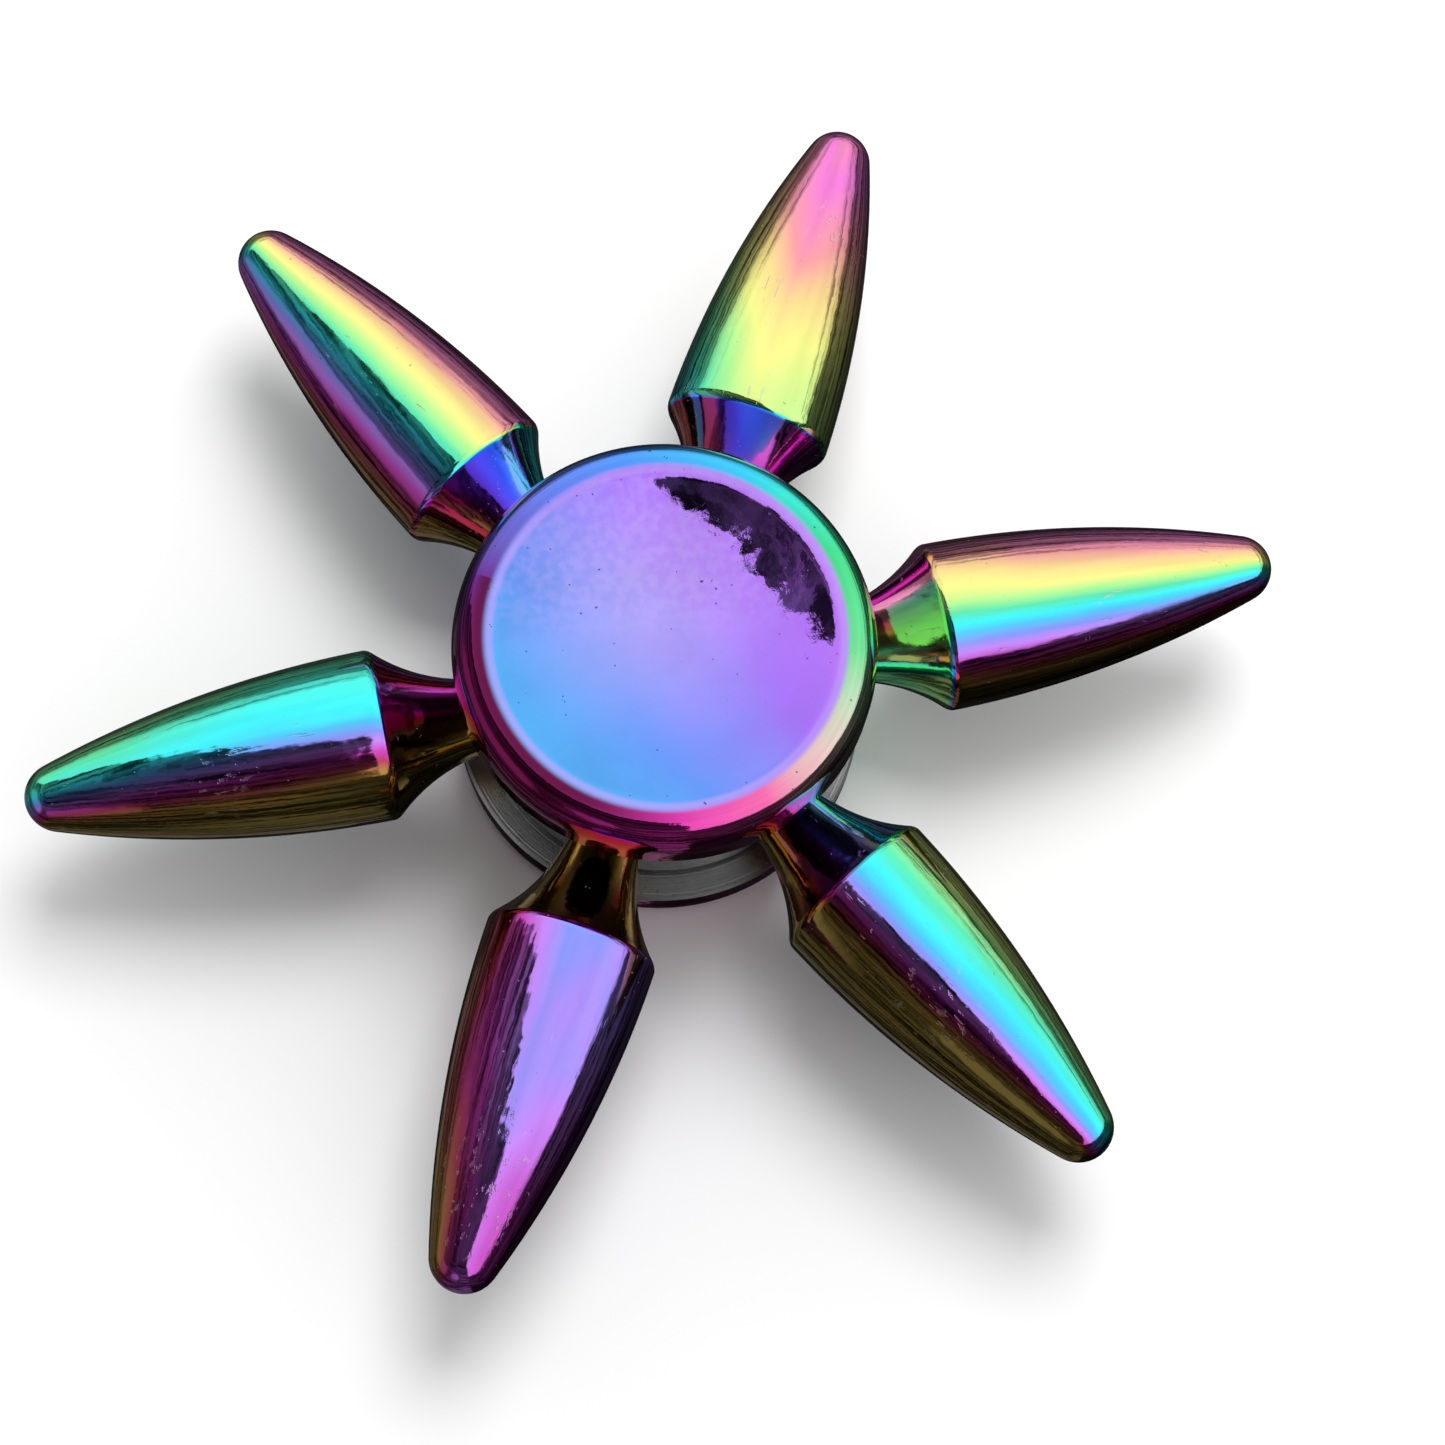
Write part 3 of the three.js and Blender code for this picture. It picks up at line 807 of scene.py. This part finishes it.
def snap_ring(name):
    """Open spring ring, flat, at the height where it holds the upper shield."""
    steps = 96
    inner_radius = SHIELD_OUTER_RADIUS - SNAP_RING_WIDTH
    vertices, faces = [], []
    for i in range(steps + 1):
        angle = SNAP_RING_OPENING + (2 * math.pi - 2 * SNAP_RING_OPENING) * i / steps
        for radius in (inner_radius, SHIELD_OUTER_RADIUS):
            for height in (SNAP_RING_INNER_Z, SNAP_RING_INNER_Z + SHIELD_THICKNESS):
                vertices.append((radius * math.cos(angle), radius * math.sin(angle), height))
    for i in range(steps):
        a, b = 4 * i, 4 * (i + 1)
        for p, q in ((0, 1), (1, 3), (3, 2), (2, 0)):
            faces.append((a + p, a + q, b + q, b + p))
    faces.append((0, 2, 3, 1))
    end = 4 * steps
    faces.append((end, end + 1, end + 3, end + 2))
    return finish_mesh(name, vertices, faces)


for label in ("top", "bottom"):
    shield = turned(f"{label}_shield", [
        (SHIELD_BORE_RADIUS, SHIELD_INNER_Z),
        (SHIELD_OUTER_RADIUS, SHIELD_INNER_Z),
        (SHIELD_OUTER_RADIUS, SHIELD_INNER_Z + SHIELD_THICKNESS),
        (SHIELD_BORE_RADIUS, SHIELD_INNER_Z + SHIELD_THICKNESS),
    ], 96, closed=True)
    clip = snap_ring(f"{label}_snap_ring")
    if label == "bottom":
        reshape(shield, Matrix.Rotation(math.pi, 4, "X"))
        reshape(clip, Matrix.Rotation(math.pi, 4, "X"))
    place(shield, f"bearing_shield_{label}", "rotor", "shield_steel", shield_steel)
    place(clip, f"shield_snap_ring_{label}", "rotor", "shield_steel", shield_steel)


# ---- Floor ----

floor_mesh = bpy.data.meshes.new("floor")
FLOOR_HALF = 1.5
floor_z = cad_box[0][2] - 0.02 * MM
floor_mesh.from_pydata([
    (-FLOOR_HALF, -FLOOR_HALF, floor_z),
    (FLOOR_HALF, -FLOOR_HALF, floor_z),
    (FLOOR_HALF, FLOOR_HALF, floor_z),
    (-FLOOR_HALF, FLOOR_HALF, floor_z),
], [], [(0, 1, 2, 3)])
floor = bpy.data.objects.new("floor", floor_mesh)
bpy.context.scene.collection.objects.link(floor)
floor_material = bpy.data.materials.new("pale_floor")
floor_material.use_nodes = True
floor_shader = floor_material.node_tree.nodes["Principled BSDF"]
floor_shader.inputs["Base Color"].default_value = (0.92, 0.92, 0.92, 1)
floor_shader.inputs["Roughness"].default_value = 0.8
floor_shader.inputs["Specular IOR Level"].default_value = 0.1
floor_mesh.materials.append(floor_material)
floor.visible_glossy = False
floor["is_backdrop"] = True


# ---- Light ----

def heading(azimuth, elevation):
    a, e = math.radians(azimuth), math.radians(elevation)
    return (math.cos(e) * math.cos(a), math.cos(e) * math.sin(a), math.sin(e))


def make_world():
    """A soft bright dome over a dark ground, with a broad dark flag on the near left."""
    world = bpy.data.worlds.new("studio")
    bpy.context.scene.world = world
    world.use_nodes = True
    nodes = Nodes(world.node_tree)
    ray = nodes.add("ShaderNodeTexCoord").outputs["Generated"]
    east = nodes.dot(ray, (1, 0, 0))
    north = nodes.dot(ray, (0, 1, 0))
    height = nodes.dot(ray, (0, 0, 1))
    ragged = nodes.smooth(nodes.noise(ray, 13.0, 4.0, 0.6, seed=3.0), 0.3, 0.7, -0.04, 0.04)
    cloud = nodes.noise(ray, 2.2, 3.0, seed=8.0)
    bands = nodes.noise(ray, 2.0, 4.0, 0.65, stretch=(1, 1, 9), seed=5.0)

    # The flag reaches up to two edges overhead, and ends at one on either side.
    upright = nodes.math("ADD", nodes.math("MULTIPLY", east, -1.0), -0.29)
    upright = nodes.math("ADD", upright, nodes.math("MULTIPLY", nodes.math("MAXIMUM", north, 0.0), -0.36))
    slanted = nodes.math("ADD", nodes.dot(ray, (-0.76, -1, 0)), -0.28)
    overhead = nodes.math("MAXIMUM", upright, slanted)
    far_side = nodes.math("ADD", nodes.dot(ray, (-0.96, -1, 0)), -0.02)
    inside = nodes.math("MINIMUM", overhead, far_side)
    inside = nodes.math("MINIMUM", inside, nodes.math("SUBTRACT", -0.02, east))
    flag = nodes.smooth(nodes.math("ADD", inside, ragged), -0.012, 0.012)

    # The dome stops higher up on the near side, and softly on the far side.
    near = nodes.math("MULTIPLY", nodes.math("MINIMUM", north, 0.0), 0.27)
    above = nodes.math("ADD", nodes.math("ADD", height, near), nodes.math("MULTIPLY", ragged, 0.5))
    dome = nodes.math("MULTIPLY", nodes.smooth(above, 0.05, 0.11), nodes.smooth(height, 0.0, 0.34, 0.60, 1))
    lines = nodes.math("MAXIMUM", nodes.smooth(bands, 0.40, 0.52, 0.25, 1), nodes.smooth(height, 0.2, 0.42))
    bright = nodes.math("MULTIPLY", dome, nodes.smooth(cloud, 0.3, 0.7, 1.2, 1.4))
    bright = nodes.math("MULTIPLY", bright, lines)

    # What the ground throws back, a pale wall low on the left, and a dim room behind the flag.
    far = nodes.smooth(north, -0.3, 0.5, 0.30, 1)
    ground = nodes.math("MULTIPLY", nodes.smooth(height, -0.75, -0.02, 0.04, 0.28), far)
    ground = nodes.math("MULTIPLY", ground, nodes.smooth(bands, 0.38, 0.62, 0.10, 1.5))
    wall = nodes.smooth(east, -0.93, -0.82, 1, 0)
    wall = nodes.math("MULTIPLY", wall, nodes.smooth(height, 0.3, 0.42, 0.5, 0))
    wall = nodes.math("MULTIPLY", wall, nodes.smooth(height, -0.25, -0.05))
    lamp = nodes.smooth(nodes.dot(ray, heading(232, 11)), 0.975, 0.992, 0, 0.45)
    room = nodes.math(
        "MULTIPLY", nodes.smooth(bands, 0.42, 0.60, 0.06, 1), nodes.smooth(height, 0.2, 0.9, 0.24, 0.05))

    radiance = nodes.mix(flag, bright, room)
    for extra in (ground, wall, lamp):
        radiance = nodes.math("MAXIMUM", radiance, extra)
    shown = nodes.mix(nodes.add("ShaderNodeLightPath").outputs["Is Camera Ray"], radiance, 0.95)
    background = nodes.add("ShaderNodeBackground")
    nodes.feed(background.inputs["Strength"], shown)
    output = nodes.add("ShaderNodeOutputWorld")
    nodes.feed(output.inputs["Surface"], background.outputs[0])


make_world()

KEY_POWER = 1.6
key_data = bpy.data.lights.new("key", "AREA")
key_data.size = 0.25
key_data.energy = KEY_POWER
key = bpy.data.objects.new("key", key_data)
key.location = Vector(heading(60, 62)) * 0.5
key.rotation_euler = (-key.location).to_track_quat("-Z", "Y").to_euler()
key.visible_glossy = False
key.visible_camera = False
bpy.context.scene.collection.objects.link(key)

# ---- Camera ----

CAMERA_AIM = Vector((2.79, -3.01, 0.0)) * MM
CAMERA_DISTANCE = 170.87 * MM
CAMERA_AZIMUTH = -112.58
CAMERA_ELEVATION = 73.206
CAMERA_ROLL = math.radians(10.663)

camera_data = bpy.data.cameras.new("camera")
camera_data.lens = 77.58
camera_data.sensor_width = 36
camera_data.clip_start = 0.01
camera = bpy.data.objects.new("camera", camera_data)
toward_camera = Vector(heading(CAMERA_AZIMUTH, CAMERA_ELEVATION))
camera.location = CAMERA_AIM + toward_camera * CAMERA_DISTANCE
camera.rotation_mode = "QUATERNION"
camera.rotation_quaternion = toward_camera.to_track_quat("Z", "Y") @ Quaternion((0, 0, 1), CAMERA_ROLL)
bpy.context.scene.collection.objects.link(camera)
bpy.context.scene.camera = camera
bpy.context.scene.view_settings.view_transform = "Standard"

boxes = {"cad": cad_box, "visual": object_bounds()}
{name: [[float(v) for v in corner] for corner in box] for name, box in boxes.items()}
